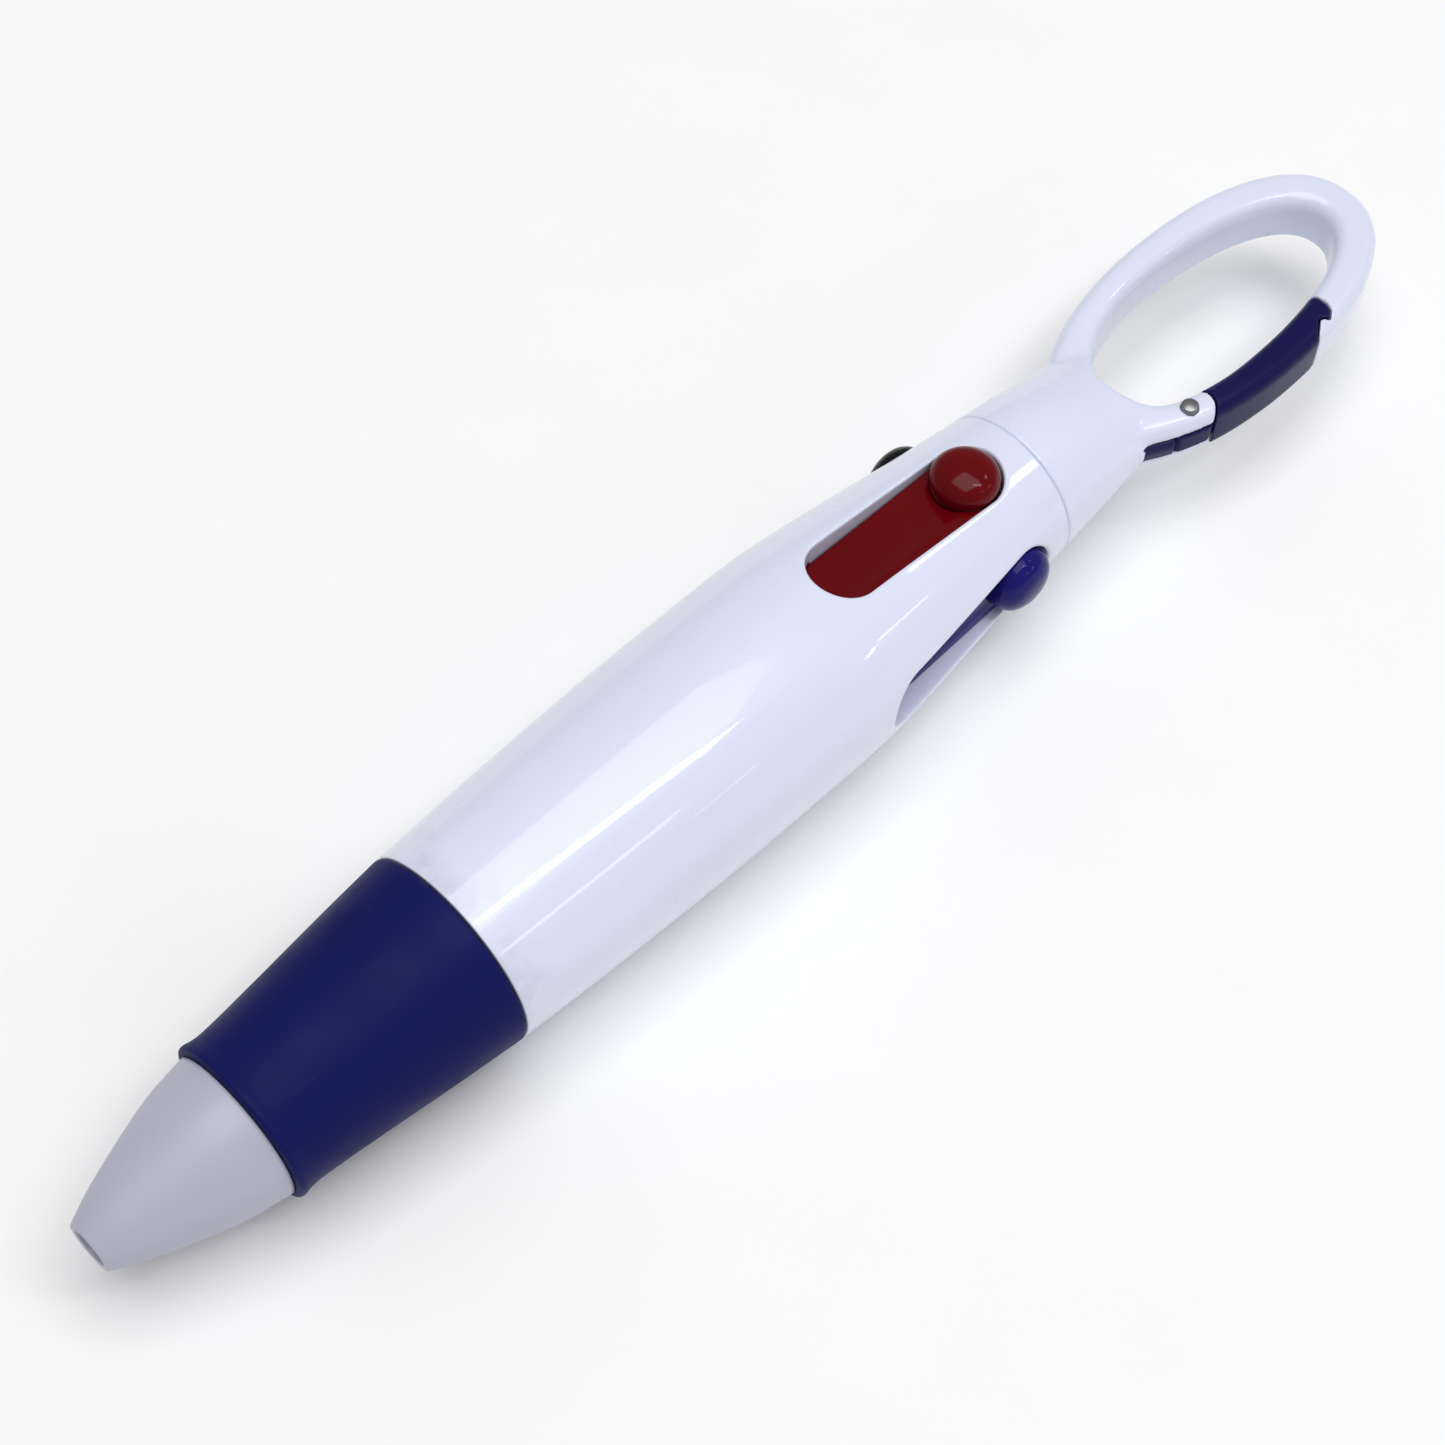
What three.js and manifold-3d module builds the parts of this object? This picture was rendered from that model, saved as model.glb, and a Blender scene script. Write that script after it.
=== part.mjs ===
// A four-colour slider pen with a carabiner loop, in millimetres.
//
// +X runs along the pen from the nose to the loop and +Z is up, with the red slider on top.
// Lengths along the pen are given from the nose's end. The last lines move the finished pen
// so that the origin is the middle of its box.
import * as THREE from 'three';
import { mergeVertices } from 'three/addons/utils/BufferGeometryUtils.js';
import Module from 'manifold-3d';

const wasm = await Module();
wasm.setup();

// ---- driving dimensions ----

// outer parts, as [along, radius]
const NOSE_SEAM = 11.6; // where the grip starts
const GRIP_SEAM = 29.25; // where the barrel starts
const CAP_SEAM = 81.9; // where the top cap starts
const SEAM_GAP = 0.1; // hairline between outer parts
const FIT_GAP = 0.1; // clearance between parts pushed together
const BODY_SIDES = 24; // one facet of the barrel faces straight down
const NOSE_OUTLINE = [[0, 1.72], [0.3, 1.98], [3, 3.15], [8, 4.8], [NOSE_SEAM, 5.45]];
const GRIP_OUTLINE = [[NOSE_SEAM, 5.6], [12, 6], [13.5, 5.88], [17.6, 6.25], [24, 6.93], [GRIP_SEAM, 7.42]];
const BARREL_FRONT = [[GRIP_SEAM, 7.42], [36, 7.77], [42, 8], [46, 8.12], [49.5, 8.2]];
const BARREL_REAR = [[60.5, 8.2], [63, 8.06], [66.5, 7.72], [71, 7.18], [77, 6.45], [CAP_SEAM, 5.93]];

// inside the outer parts
const NOSE_HOLE_RADIUS = 1.36;
const NOSE_BORE = [[0.9, NOSE_HOLE_RADIUS], [3, 2.15], [8, 3.7], [12, 4], [20, 4.15], [GRIP_SEAM, 4.65]];
const GRIP_SEAT = [[NOSE_SEAM, 5.1], [GRIP_SEAM - SEAM_GAP, 6]]; // the nose cone's tube under the grip
const SPIGOT_END = 36.5; // the nose cone's threaded end inside the barrel
const SPIGOT_RADIUS = 5.75;
const SPIGOT_BORE = 4.95;
const THREAD_RADIUS = 6.05;
const THREAD_PITCH = 1.6;
const THREAD_TURNS = 3;
const FRONT_BORE_RADIUS = 6.2; // barrel bore around the thread
const GUIDE_STEP = 43.3; // step in the barrel's bore where the guide disc sits
const REAR_BORE_RADIUS = 6.9;
const REAR_BORE_TAPER = [64.5, 80]; // the bore narrows with the barrel between these
const TAIL_BORE_RADIUS = 4.9;

// sliders; distances across are measured out from the pen's axis
const SLOT_ENDS = [62.3, 79.55];
const SLOT_WIDTH = 5.2;
const SLOT_DEPTHS = [4.4, 10];
const SLIDER_ENDS = [57.5, 79.3];
const SLIDER_WIDTH = 5;
const RAIL_DEPTHS = [4.5, 5.85];
// the knob's round top, as [share of its radius, out from the pen's axis]
const KNOB_DOME = [[1, 5.85], [0.95, 6.3], [0.78, 6.85], [0.54, 7.25], [0.28, 7.41], [0, 7.45]];
const GROOVE_RADIUS = 3; // hollow along the rail
const GROOVE_DEPTH = 0.25;
const BLOCK_SIZE = [4, 3.8]; // length and width of the block that pushes the refill
const BLOCK_DEPTHS = [3, 5.2];

// refills, measured back from the ball's front
const BALL_FRONT = [8.8, 1.75]; // [along, from the axis] when drawn in
const REFILL_TILT = 3.115; // degrees
const BALL_RADIUS = 0.35;
const SOCKET_RADIUS = 0.39;
const SOCKET_MOUTH = 0.15;
const POINT_OUTLINE = [[SOCKET_MOUTH, 0.42], [3, 0.56], [10, 1.13], [10.4, 1.13], [10.4, 0.7], [13.4, 0.7]];
const TUBE_ENDS = [10.5, 48.7];
const TUBE_RADIUS = 1.15;
const TUBE_BORE = 0.75;
const PEG_RADIUS = 0.55; // on the slider, inside the tube's rear end
const PEG_LENGTH = 4;

// guide disc, springs and core
const GUIDE_THICKNESS = 1.2;
const GUIDE_SLOT_RADIUS = 1.25;
const GUIDE_SLOT_SPAN = [3.68, 4.2]; // centres of the slot's two ends, from the axis
const SPRING_ENDS = [44.95, 57.15];
const SPRING_RADIUS = 1.42;
const SPRING_WIRE = 0.12; // wire radius
const SPRING_TURNS = 7;
const POST_WIDTH = 3.7;
const POST_ENDS = [44.75, 84];
const RIB_THICKNESS = 1;
const RIB_END = 77.2;
const RIB_CLEARANCE = 0.2;

// top cap and its loop, as [along, across]
const PLUG_START = 79.7;
const PLUG_RADIUS = 4.75;
const PLUG_BORE_RADIUS = 2.75;
const PLUG_BORE_END = 85;
const NECK = [ // [along, half width, half depth]
  [CAP_SEAM, 5.93, 5.93], [84.5, 5.7, 5.55], [87.5, 5.4, 4.75], [90, 5.17, 3.9], [93, 4.9, 3], [96, 4.4, 2.3],
  [98, 3.6, 1.6],
];
const LOOP_DEPTH = 4.6; // along Z
const LOOP_ROUND = 1; // rounding of the loop's edges
// ovals whose front and rear halves differ; the front has a power for each side, +Y and -Y
const LOOP_OUTER = { middle: 103.6, front: 16, rear: 15.8, half: 7.68, frontPowers: [2, 2], rearPower: 2.26 };
const LOOP_HOLE = {
  middle: 102.3, front: 10.5, rear: 13.8, half: 5.05, frontPowers: [1.9, 2.25], rearPower: 2.16,
};
const LOOP_POINTS = 48; // corners of each oval

// gate
const PIN = [95.1, -5.2];
const PIN_RADIUS = 0.62;
const PIN_PROUD = 0.3;
const PIN_DOME = 0.25;
const PIN_TOP = 0.6; // flat top, as a share of the pin's radius
const PIN_CLEARANCE = 0.06;
const ARM_RADIUS = 1.9; // round end of the hinge arm
const GATE_GAP = 0.15;
const LUG_RADIUS = 1.85; // the gate's lug between the arm's cheeks
const LUG_DEPTH = 1.6;
const BRIDGE_LENGTH = 3; // joins the lug to the rest of the gate
const BRIDGE_SIDES = [-1.3, 1.2]; // from the pin, across
const LAP_GAP = 0.1;
const LEAF_OUTER = 0.15; // the leaf stands this far outside the loop's outline
const LEAF_INNER = -0.5;
const LEAF_START = 90.4;
const LEAF_SIDE = -3; // the leaf lies beyond this, on the loop's -Y side
const GATE_NOSE = [ // from the loop's hole round the latch to the outside
  [109.3, -3.4], [109.35, -5.3], [109.36, -5.9], [109.15, -6.45], [108.65, -6.85], // rounded nose and barb
  [108.4, -6.62], [107.95, -6.4], // under the barb
  [106.95, -7.2], [106.65, -7.75], [106.3, -9.2],
];

// each colour's place around the pen, in degrees from +Z towards -Y
const PLACES = { red: 0, blue: 90, green: 180, black: 270 };

// ---- colours and finishes ----

const plastic = (name, color, roughness) =>
  new THREE.MeshStandardMaterial({ name, color, roughness, metalness: 0 });
const metal = (name, color, roughness) =>
  new THREE.MeshStandardMaterial({ name, color, roughness, metalness: 1 });
const whiteGloss = plastic('white_gloss', 0xdfe2f2, 0.2);
const offWhite = plastic('off_white', 0xc9cad8, 0.4);
const gripBlue = plastic('grip_blue', 0x1b2068, 0.6);
const gateBlue = plastic('gate_blue', 0x1a1852, 0.35);
const innerWhite = plastic('inner_white', 0xe6e6e6, 0.5);
const refillPlastic = plastic('refill_plastic', 0xe8e8e4, 0.3);
const steel = metal('steel', 0x9a9a98, 0.35);
const brass = metal('brass', 0xb9995a, 0.35);
const sliderPlastic = {
  red: plastic('slider_red', 0x6a0a10, 0.15),
  blue: plastic('slider_blue', 0x10106a, 0.15),
  green: plastic('slider_green', 0x0b5a2a, 0.15),
  black: plastic('slider_black', 0x141416, 0.15),
};

// ---- tools ----

function toSolid(geometry) {
  const bare = geometry.clone();
  bare.deleteAttribute('normal');
  bare.deleteAttribute('uv');
  const merged = mergeVertices(bare, 1e-5);
  return new wasm.Manifold(new wasm.Mesh({
    numProp: 3,
    vertProperties: new Float32Array(merged.attributes.position.array),
    triVerts: new Uint32Array(merged.index.array),
  }));
}

function toGeometry(solid) {
  const mesh = solid.getMesh();
  const geometry = new THREE.BufferGeometry();
  geometry.setAttribute('position', new THREE.BufferAttribute(new Float32Array(mesh.vertProperties), 3));
  geometry.setIndex(new THREE.BufferAttribute(new Uint32Array(mesh.triVerts), 1));
  geometry.computeVertexNormals();
  return geometry;
}

// a closed outline of [along, radius] points turned about the pen's axis
function turned(outline, sides = BODY_SIDES) {
  const points = outline.map(([along, radius]) => new THREE.Vector2(radius, along));
  return new THREE.LatheGeometry(points, sides, Math.PI / sides).rotateZ(-Math.PI / 2);
}

// points on a smooth line through a few given ones
function smooth(points, steps) {
  const curve = new THREE.SplineCurve(points.map(([x, y]) => new THREE.Vector2(x, y)));
  return curve.getPoints(steps).map((p) => [p.x, p.y]);
}

function arc([x, y], radius, from, to, steps) {
  return Array.from({ length: steps + 1 }, (_, i) => {
    const angle = THREE.MathUtils.degToRad(from + (to - from) * i / steps);
    return [x + radius * Math.cos(angle), y + radius * Math.sin(angle)];
  });
}

const shapeOf = (points) => new THREE.Shape(points.map(([x, y]) => new THREE.Vector2(x, y)));

// a flat shape in the XY plane pulled up from one height to another, with its edges rounded
function slab(shape, [low, high], rounding = 0) {
  const geometry = new THREE.ExtrudeGeometry(shape, {
    depth: high - low - 2 * rounding,
    bevelEnabled: rounding > 0,
    bevelThickness: rounding,
    bevelSize: rounding,
    bevelOffset: -rounding,
    bevelSegments: 3,
  });
  return geometry.translate(0, 0, low + rounding);
}

function box([x0, x1], [y0, y1], [z0, z1]) {
  return new THREE.BoxGeometry(x1 - x0, y1 - y0, z1 - z0)
    .translate((x0 + x1) / 2, (y0 + y1) / 2, (z0 + z1) / 2);
}

// a span of that depth around the pen's middle plane
function middleLayer(depth) {
  return [-depth / 2, depth / 2];
}

// a closed outline moved outwards; its points run anticlockwise
function grown(points, distance) {
  return points.map(([x, y], i) => {
    const [px, py] = points.at(i - 1);
    const [nx, ny] = points[(i + 1) % points.length];
    const before = new THREE.Vector2(y - py, px - x).normalize();
    const after = new THREE.Vector2(ny - y, x - nx).normalize();
    const out = before.add(after);
    out.multiplyScalar(2 * distance / out.lengthSq());
    return [x + out.x, y + out.y];
  });
}

// an oval with different front and rear halves that share their widest line
function oval({ middle, front, rear, half, frontPowers, rearPower }) {
  return Array.from({ length: LOOP_POINTS }, (_, i) => {
    const angle = 2 * Math.PI * i / LOOP_POINTS;
    const [c, s] = [Math.cos(angle), Math.sin(angle)];
    const [reach, power] = c > 0 ? [rear, rearPower] : [front, frontPowers[s > 0 ? 0 : 1]];
    return [
      middle + reach * Math.sign(c) * Math.abs(c) ** (2 / power),
      half * Math.sign(s) * Math.abs(s) ** (2 / power),
    ];
  });
}

// turns a piece made for the red slider's place round to another place
const placed = (geometry, degrees) => geometry.rotateX(THREE.MathUtils.degToRad(degrees));

function named(name, geometry, material) {
  const mesh = new THREE.Mesh(geometry, material);
  mesh.name = name;
  return mesh;
}

// ---- nose, grip and barrel ----

function noseCone() {
  const ridges = Array.from({ length: THREAD_TURNS }, (_, i) => {
    const x = GRIP_SEAM + THREAD_PITCH * (i + 1);
    return [[x - THREAD_PITCH / 4, SPIGOT_RADIUS], [x, THREAD_RADIUS], [x + THREAD_PITCH / 4, SPIGOT_RADIUS]];
  });
  return turned([
    ...smooth(NOSE_OUTLINE, 12), ...GRIP_SEAT, [GRIP_SEAM, SPIGOT_RADIUS], ...ridges.flat(),
    [SPIGOT_END, SPIGOT_RADIUS], [SPIGOT_END, SPIGOT_BORE],
    ...NOSE_BORE.toReversed(), [0, NOSE_HOLE_RADIUS], NOSE_OUTLINE[0],
  ]);
}

function gripSleeve() {
  const [start, end] = [NOSE_SEAM + SEAM_GAP, GRIP_SEAM - SEAM_GAP];
  const outside = smooth(GRIP_OUTLINE, 14);
  outside[0][0] = start;
  outside.at(-1)[0] = end;
  const [[, frontSeat], [, rearSeat]] = GRIP_SEAT;
  return turned([...outside, [end, rearSeat + FIT_GAP], [start, frontSeat + FIT_GAP], outside[0]]);
}

// a long hole or bar with round ends, seen from above
function slotShape([front, rear], width) {
  const radius = width / 2;
  return shapeOf([
    ...arc([rear - radius, 0], radius, -90, 90, 8),
    ...arc([front + radius, 0], radius, 90, 270, 8),
  ]);
}

function barrel() {
  const [start, end] = [GRIP_SEAM + SEAM_GAP / 2, CAP_SEAM - SEAM_GAP];
  const outside = [...smooth(BARREL_FRONT, 8), ...smooth(BARREL_REAR, 14)];
  outside[0][0] = start;
  outside.at(-1)[0] = end;
  let solid = toSolid(turned([
    ...outside, [end, TAIL_BORE_RADIUS], [REAR_BORE_TAPER[1], TAIL_BORE_RADIUS],
    [REAR_BORE_TAPER[0], REAR_BORE_RADIUS], [GUIDE_STEP, REAR_BORE_RADIUS], [GUIDE_STEP, FRONT_BORE_RADIUS],
    [start, FRONT_BORE_RADIUS], outside[0],
  ]));
  for (const degrees of Object.values(PLACES)) {
    const slot = slab(slotShape(SLOT_ENDS, SLOT_WIDTH), SLOT_DEPTHS);
    solid = solid.subtract(toSolid(placed(slot, degrees)));
  }
  return toGeometry(solid);
}

// ---- fixed parts inside ----

function guideDisc() {
  const [start, end] = [GUIDE_STEP + FIT_GAP, GUIDE_STEP + FIT_GAP + GUIDE_THICKNESS];
  const radius = REAR_BORE_RADIUS - FIT_GAP;
  let solid = toSolid(turned([[start, 0], [start, radius], [end, radius], [end, 0]]));
  const [near, far] = GUIDE_SLOT_SPAN;
  const outline = slotShape([near - GUIDE_SLOT_RADIUS, far + GUIDE_SLOT_RADIUS], 2 * GUIDE_SLOT_RADIUS);
  for (const degrees of Object.values(PLACES)) {
    const hole = slab(outline, [-end - 1, -start + 1]).rotateY(-Math.PI / 2);
    solid = solid.subtract(toSolid(placed(hole, degrees)));
  }
  return toGeometry(solid);
}

function innerCore() {
  const post = toSolid(box(POST_ENDS, middleLayer(POST_WIDTH), middleLayer(POST_WIDTH)));
  const [start] = POST_ENDS;
  const radius = REAR_BORE_RADIUS - RIB_CLEARANCE;
  const tail = TAIL_BORE_RADIUS - RIB_CLEARANCE;
  const room = toSolid(turned([
    [start, 0], [start, radius], [REAR_BORE_TAPER[0], radius], [RIB_END, tail], [RIB_END, 0],
  ]));
  const plate = () =>
    box([start - 1, RIB_END + 1], middleLayer(RIB_THICKNESS), middleLayer(2 * REAR_BORE_RADIUS));
  const ribs = toSolid(placed(plate(), 45)).add(toSolid(placed(plate(), -45)));
  return toGeometry(post.add(ribs.intersect(room)));
}

// ---- sliders, refills and springs, made for the red slider's place ----

function slider() {
  const [front, rear] = SLIDER_ENDS;
  const radius = SLIDER_WIDTH / 2;
  const [railBottom, railTop] = RAIL_DEPTHS;
  const rail = toSolid(slab(
    shapeOf([...arc([rear - radius, 0], radius, -90, 90, 8), [front, radius], [front, -radius]]),
    RAIL_DEPTHS,
  ));
  const groove = new THREE.CylinderGeometry(GROOVE_RADIUS, GROOVE_RADIUS, rear - front, 32)
    .rotateZ(Math.PI / 2)
    .translate((front + rear) / 2 - radius, 0, railTop - GROOVE_DEPTH + GROOVE_RADIUS);
  const top = KNOB_DOME.map(([share, out]) => [share * radius, out]);
  const dome = [[0, railBottom], [radius, railBottom], ...top];
  const knob = new THREE.LatheGeometry(dome.map(([r, z]) => new THREE.Vector2(r, z)), 16, Math.PI / 16)
    .rotateX(Math.PI / 2)
    .translate(rear - radius, 0, 0);
  const [length, width] = BLOCK_SIZE;
  const block = box([front, front + length], [-width / 2, width / 2], BLOCK_DEPTHS);
  const pegOverlap = 0.3;
  const peg = alongRefill(turned([
    [TUBE_ENDS[1] - PEG_LENGTH, 0], [TUBE_ENDS[1] - PEG_LENGTH, PEG_RADIUS],
    [TUBE_ENDS[1] + pegOverlap, PEG_RADIUS], [TUBE_ENDS[1] + pegOverlap, 0],
  ], 10));
  return toGeometry(rail.subtract(toSolid(groove)).add(toSolid(knob)).add(toSolid(block)).add(toSolid(peg)));
}

// moves a piece made along the axis, from the ball's front at 0, to where the refill lies
function alongRefill(geometry) {
  const [along, across] = BALL_FRONT;
  return geometry.rotateY(-THREE.MathUtils.degToRad(REFILL_TILT)).translate(along, 0, across);
}

function refillTube() {
  const [start, end] = TUBE_ENDS;
  return alongRefill(turned(
    [[start, TUBE_RADIUS], [end, TUBE_RADIUS], [end, TUBE_BORE], [start, TUBE_BORE], [start, TUBE_RADIUS]],
    12,
  ));
}

function refillPoint() {
  const mouth = 180 - THREE.MathUtils.radToDeg(Math.acos((BALL_RADIUS - SOCKET_MOUTH) / SOCKET_RADIUS));
  const socket = arc([BALL_RADIUS, 0], SOCKET_RADIUS, 0, mouth, 5);
  socket[0][1] = 0;
  return alongRefill(turned([...socket, ...POINT_OUTLINE, [POINT_OUTLINE.at(-1)[0], 0]], 12));
}

const ball = () => alongRefill(new THREE.SphereGeometry(BALL_RADIUS, 10, 8).translate(BALL_RADIUS, 0, 0));

class SpringCurve extends THREE.Curve {
  getPoint(t) {
    const [start, end] = SPRING_ENDS;
    const angle = 2 * Math.PI * SPRING_TURNS * t;
    const x = start + (end - start) * t;
    const middle = BALL_FRONT[1] + (x - BALL_FRONT[0]) * Math.tan(THREE.MathUtils.degToRad(REFILL_TILT));
    return new THREE.Vector3(x, SPRING_RADIUS * Math.sin(angle), middle + SPRING_RADIUS * Math.cos(angle));
  }
}

function returnSpring() {
  return new THREE.ExtrudeGeometry(shapeOf(arc([0, 0], SPRING_WIRE, 0, 300, 5)), {
    steps: 10 * SPRING_TURNS,
    extrudePath: new SpringCurve(),
  });
}

// ---- top cap and gate ----

const LOOP_SPAN = middleLayer(LOOP_DEPTH);
const THROUGH = middleLayer(2 * LOOP_DEPTH);

function loopRing() {
  const shape = shapeOf(oval(LOOP_OUTER));
  shape.holes.push(shapeOf(oval(LOOP_HOLE).reverse()));
  return toSolid(slab(shape, LOOP_SPAN, LOOP_ROUND));
}

// the gate's ends cut everything between them out of the loop
function gatePlan() {
  const hollow = arc(PIN, ARM_RADIUS + GATE_GAP, 55, -80, 8);
  return [...hollow, [hollow.at(-1)[0], GATE_NOSE.at(-1)[1]], ...GATE_NOSE.toReversed()];
}

const pinBar = (radius, [low, high]) =>
  new THREE.CylinderGeometry(radius, radius, high - low, 16)
    .rotateX(Math.PI / 2)
    .translate(PIN[0], PIN[1], (low + high) / 2);

// the neck blends from the barrel's round end to the loop's flat one
function neck() {
  const curve = new THREE.CatmullRomCurve3(NECK.map(([x, y, z]) => new THREE.Vector3(x, y, z)));
  const stations = curve.getPoints(14);
  const [first, last] = [stations[0].x, stations.at(-1).x];
  const geometry = turned([[first, 0], ...stations.map(({ x }) => [x, 1]), [last, 0]]);
  const position = geometry.attributes.position;
  for (let i = 0; i < position.count; i += 1) {
    const near = stations.reduce((best, s) =>
      (Math.abs(s.x - position.getX(i)) < Math.abs(best.x - position.getX(i)) ? s : best));
    position.setY(i, position.getY(i) * near.y);
    position.setZ(i, position.getZ(i) * near.z);
  }
  return toSolid(geometry);
}

function leafSolid(clearance) {
  const outline = (distance) => shapeOf(grown(oval(LOOP_OUTER), distance));
  const outer = slab(outline(LEAF_OUTER + clearance), middleLayer(LUG_DEPTH + 2 * clearance));
  const inner = slab(outline(LEAF_INNER - clearance), THROUGH);
  const stretch = box([LEAF_START - clearance, PIN[0]], [-LOOP_OUTER.half, LEAF_SIDE], THROUGH);
  const strip = toSolid(outer).subtract(toSolid(inner)).intersect(toSolid(stretch));
  return strip.subtract(toSolid(pinBar(LUG_RADIUS + LAP_GAP - clearance, THROUGH)));
}

function topCap() {
  const plug = toSolid(turned([
    [PLUG_START, 0], [PLUG_START, PLUG_RADIUS], [CAP_SEAM + 1, PLUG_RADIUS], [CAP_SEAM + 1, 0],
  ]));
  const recess = toSolid(turned([
    [PLUG_START - 1, 0], [PLUG_START - 1, PLUG_BORE_RADIUS],
    [PLUG_BORE_END, PLUG_BORE_RADIUS], [PLUG_BORE_END, 0],
  ]));
  const hole = toSolid(slab(shapeOf(oval(LOOP_HOLE)), THROUGH));
  const gateSpace = toSolid(slab(shapeOf(grown(gatePlan(), GATE_GAP)), THROUGH));
  const armEnd = toSolid(pinBar(ARM_RADIUS, THROUGH));
  const lugSlot = toSolid(pinBar(ARM_RADIUS + LAP_GAP, middleLayer(LUG_DEPTH + 2 * LAP_GAP)));
  const pinHole = toSolid(pinBar(PIN_RADIUS + PIN_CLEARANCE, THROUGH));
  const body = neck().add(plug).add(loopRing()).subtract(hole).subtract(recess);
  return toGeometry(body
    .subtract(gateSpace.subtract(armEnd))
    .subtract(lugSlot)
    .subtract(leafSolid(LAP_GAP))
    .subtract(pinHole));
}

function gate() {
  const ring = loopRing();
  const arm = ring.intersect(toSolid(slab(shapeOf(gatePlan()), THROUGH)));
  const outside = slab(shapeOf(grown(oval(LOOP_OUTER), LEAF_OUTER)), middleLayer(LUG_DEPTH));
  const hole = toSolid(slab(shapeOf(oval(LOOP_HOLE)), THROUGH));
  const disc = toSolid(pinBar(LUG_RADIUS, middleLayer(LUG_DEPTH)));
  const [x, y] = PIN;
  const [low, high] = BRIDGE_SIDES;
  const bridge = toSolid(box([x, x + BRIDGE_LENGTH], [y + low, y + high], middleLayer(LUG_DEPTH)));
  const lug = disc.add(bridge).intersect(toSolid(outside)).subtract(hole);
  const pinHole = toSolid(pinBar(PIN_RADIUS + PIN_CLEARANCE, THROUGH));
  return toGeometry(arm.add(lug).subtract(pinHole));
}

function gatePin() {
  const half = LOOP_DEPTH / 2 + PIN_PROUD;
  const rim = half - PIN_DOME;
  const top = PIN_TOP * PIN_RADIUS;
  const profile = [[0, -half], [top, -half], [PIN_RADIUS, -rim], [PIN_RADIUS, rim], [top, half], [0, half]];
  return new THREE.LatheGeometry(profile.map(([r, z]) => new THREE.Vector2(r, z)), 16)
    .rotateX(Math.PI / 2)
    .translate(PIN[0], PIN[1], 0);
}

// ---- the whole pen ----

const pen = new THREE.Group();
pen.name = 'slider_pen';
pen.add(
  named('nose_cone', noseCone(), offWhite),
  named('grip_sleeve', gripSleeve(), gripBlue),
  named('barrel', barrel(), whiteGloss),
  named('spring_guide', guideDisc(), innerWhite),
  named('inner_core', innerCore(), innerWhite),
  named('top_cap', topCap(), whiteGloss),
  named('carabiner_gate', gate(), gateBlue),
  named('gate_leaf_spring', toGeometry(leafSolid(0)), gateBlue),
  named('gate_pin', gatePin(), steel),
);
for (const [colour, degrees] of Object.entries(PLACES)) {
  pen.add(
    named(`slider_${colour}`, placed(slider(), degrees), sliderPlastic[colour]),
    named(`refill_tube_${colour}`, placed(refillTube(), degrees), refillPlastic),
    named(`refill_point_${colour}`, placed(refillPoint(), degrees), brass),
    named(`point_ball_${colour}`, placed(ball(), degrees), steel),
    named(`return_spring_${colour}`, placed(returnSpring(), degrees), steel),
  );
}

const penLength = LOOP_OUTER.middle + LOOP_OUTER.rear;
for (const mesh of pen.children) {
  mesh.geometry.translate(-penLength / 2, 0, 0);
}

export default pen;
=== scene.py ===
"""A four-colour slider pen with a carabiner loop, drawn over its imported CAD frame.

Shapes are made in millimetres, from the nose's end along the pen (x) and out from its axis, with the red
slider on top (+Z). done() moves a finished piece to the frame's origin, the middle of the pen, in metres.
"""

import math

import bmesh
import bpy
import numpy as np
from mathutils import Matrix, Vector


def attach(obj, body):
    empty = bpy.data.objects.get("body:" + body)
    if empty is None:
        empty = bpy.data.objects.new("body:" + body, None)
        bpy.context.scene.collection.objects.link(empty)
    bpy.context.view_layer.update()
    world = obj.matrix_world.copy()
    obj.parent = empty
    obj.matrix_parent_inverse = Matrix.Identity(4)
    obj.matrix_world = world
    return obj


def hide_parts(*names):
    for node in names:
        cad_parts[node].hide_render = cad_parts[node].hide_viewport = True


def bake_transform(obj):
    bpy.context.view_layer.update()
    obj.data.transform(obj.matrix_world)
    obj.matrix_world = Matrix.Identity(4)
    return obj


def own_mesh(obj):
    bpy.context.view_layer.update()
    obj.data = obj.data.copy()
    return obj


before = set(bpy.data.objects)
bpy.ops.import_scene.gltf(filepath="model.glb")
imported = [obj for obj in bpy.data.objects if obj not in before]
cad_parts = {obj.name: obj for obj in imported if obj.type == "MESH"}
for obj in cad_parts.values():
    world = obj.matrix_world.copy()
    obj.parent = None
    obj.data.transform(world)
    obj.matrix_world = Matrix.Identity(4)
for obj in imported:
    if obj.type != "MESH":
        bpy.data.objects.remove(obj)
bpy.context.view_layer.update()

# ---- driving dimensions, in millimetres ----

MM = 0.001
QUARTER = math.radians(90)
PEN_LENGTH = 119.4
NOSE_SEAM = 11.6
CAP_SEAM = 81.9
SEAM_GAP = 0.1
SEAM_EDGE = 0.1  # rounding of an edge at a seam

# outlines as (along, radius)
NOSE_OUTLINE = [(0, 1.72), (0.3, 1.98), (3, 3.15), (8, 4.8), (11.6, 5.45)]
GRIP_OUTLINE = [(11.7, 5.6), (12, 6), (13.5, 5.88), (17.6, 6.25), (24, 6.93), (29.15, 7.42)]
BARREL_OUTLINE = [
    (29.3, 7.42), (36, 7.77), (42, 8), (46, 8.12), (49.5, 8.19), (55, 8.2), (60.5, 8.19),
    (63, 8.06), (66.5, 7.72), (71, 7.18), (77, 6.45), (81.8, 5.93),
]
BARREL_BORE = [(29.3, 6.2), (43.3, 6.2), (43.35, 6.9), (64.5, 6.9), (80, 4.9), (81.8, 4.9)]
BARREL_BORE_STEPS = (36, 43.3, 43.35, 43.4, 52)  # where the bore's front stretch has points
NOSE_HOLE_RADIUS = 1.36
NOSE_HOLE_EDGE = 0.12
NOSE_END_EDGE = 0.14
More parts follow.
